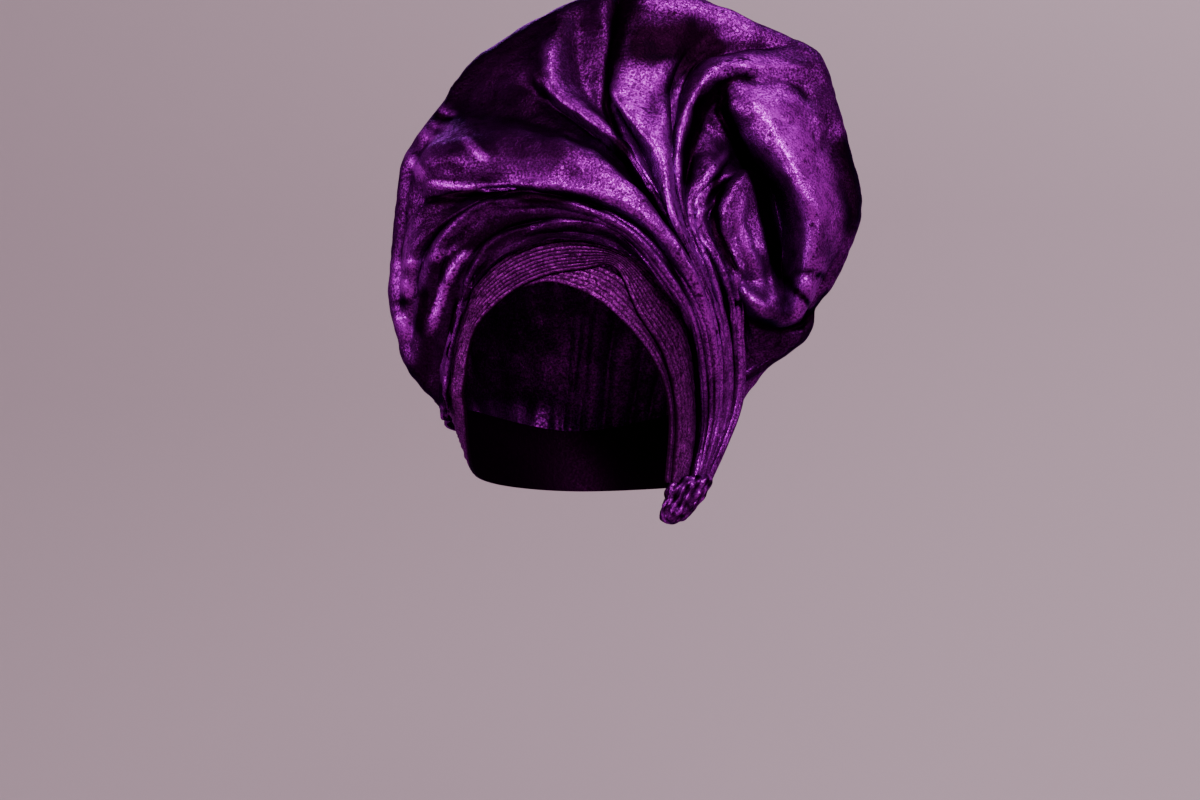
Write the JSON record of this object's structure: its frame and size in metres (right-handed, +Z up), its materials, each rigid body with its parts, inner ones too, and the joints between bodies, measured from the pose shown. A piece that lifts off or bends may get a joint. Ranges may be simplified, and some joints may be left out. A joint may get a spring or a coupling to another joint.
{
  "type": "tied gele head tie",
  "caption": "Pleated velvet head tie wrapped round the head, tied at one ear and spread into a large puffed fan.",
  "frame": {"origin": "middle of the hollow for the head, at the level of the temples", "axes": "+Z up, the face looks along -Y, and +X is the wearer's left, where the cloth is tied"},
  "size_m": [0.2948, 0.205, 0.3327],
  "materials": {
    "velvet": "crushed metallic velvet, satin",
    "pleated_velvet": "finely pleated velvet, matte"
  },
  "bodies": {
    "root": {"pleated_fan": "velvet", "back_drape": "velvet", "forehead_band": "pleated_velvet", "under_wrap": "pleated_velvet", "tucked_end": "velvet"}
  },
  "joints": []
}
